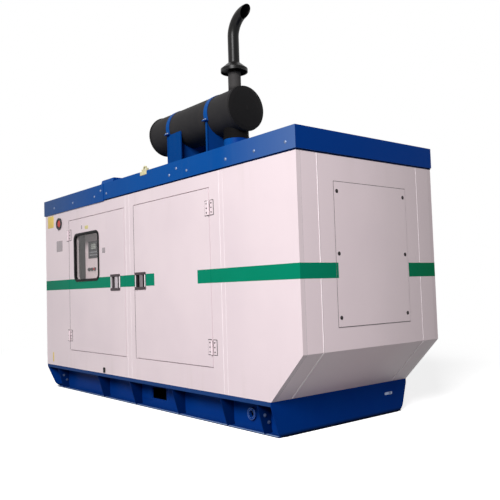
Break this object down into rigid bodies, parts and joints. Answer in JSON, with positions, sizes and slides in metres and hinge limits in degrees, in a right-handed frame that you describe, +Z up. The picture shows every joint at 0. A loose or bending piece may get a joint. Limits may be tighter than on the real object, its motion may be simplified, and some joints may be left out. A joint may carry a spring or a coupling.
{
  "type": "silent diesel generator set",
  "caption": "Silent diesel generator set in a sheet-steel canopy on a skid base, with side doors, a control window and a roof silencer with tail pipe.",
  "frame": {"origin": "middle of the set on the ground, under the centre of its bounding box", "axes": "+X towards the radiator end, -Y towards the side with the control window, +Z up"},
  "size_m": [4.286, 1.54, 3.655],
  "materials": {
    "canopy_white": "semi-gloss powder coat",
    "roof_blue": "semi-gloss paint",
    "base_blue": "semi-gloss paint",
    "exhaust_black": "matt heat-resistant paint",
    "rubber_black": "moulded rubber",
    "window_glass": "clear",
    "latch_grey": "plated steel",
    "lug_yellow": "faded paint",
    "cabinet_grey": "fine-texture powder coat",
    "control_dark": "moulded",
    "engine_grey": "painted casting",
    "alternator_blue": "painted",
    "radiator_black": "painted"
  },
  "bodies": {
    "set": {"base_front_rail": "base_blue", "base_rear_rail": "base_blue", "base_ribs": "base_blue", "base_left_end": "base_blue", "base_right_end": "base_blue", "base_cross_members": "base_blue", "base_deck": "base_blue", "front_wall_left": "canopy_white", "front_wall_post": "canopy_white", "front_wall_right": "canopy_white", "front_wall_header": "canopy_white", "front_wall_sill": "canopy_white", "door_frames": "rubber_black", "rear_wall": "canopy_white", "rear_doors": "canopy_white", "rear_latches": "latch_grey", "fixed_hinges": "canopy_white", "left_end_wall": "canopy_white", "intake_louvre": "canopy_white", "right_end_wall": "canopy_white", "right_end_cover": "canopy_white", "right_end_slope": "canopy_white", "roof_left": "roof_blue", "roof_middle": "roof_blue", "roof_right": "roof_blue", "roof_joint_cap": "roof_blue", "lifting_lugs": "lug_yellow", "silencer": "exhaust_black", "silencer_saddles": "roof_blue", "silencer_straps": "roof_blue", "exhaust_riser": "exhaust_black", "rain_collar": "exhaust_black", "tail_pipe": "exhaust_black", "control_cabinet": "cabinet_grey", "control_face": "control_dark", "inner_skid": "base_blue", "engine": "engine_grey", "alternator": "alternator_blue", "radiator": "radiator_black"},
    "control_door": {"control_door": "canopy_white", "window_gasket": "rubber_black", "window_glass": "window_glass", "control_latch": "latch_grey"},
    "service_door": {"service_door": "canopy_white", "service_latch": "latch_grey"}
  },
  "joints": [
    {"name": "control_door_hinge", "type": "hinge", "parent": "set", "child": "control_door", "pos_m": [-1.491, -0.761, 1.15], "axis": [0, 0, -1], "range_deg": [0, 120]},
    {"name": "service_door_hinge", "type": "hinge", "parent": "set", "child": "service_door", "pos_m": [1.132, -0.761, 1.15], "axis": [0, 0, 1], "range_deg": [0, 120]}
  ]
}
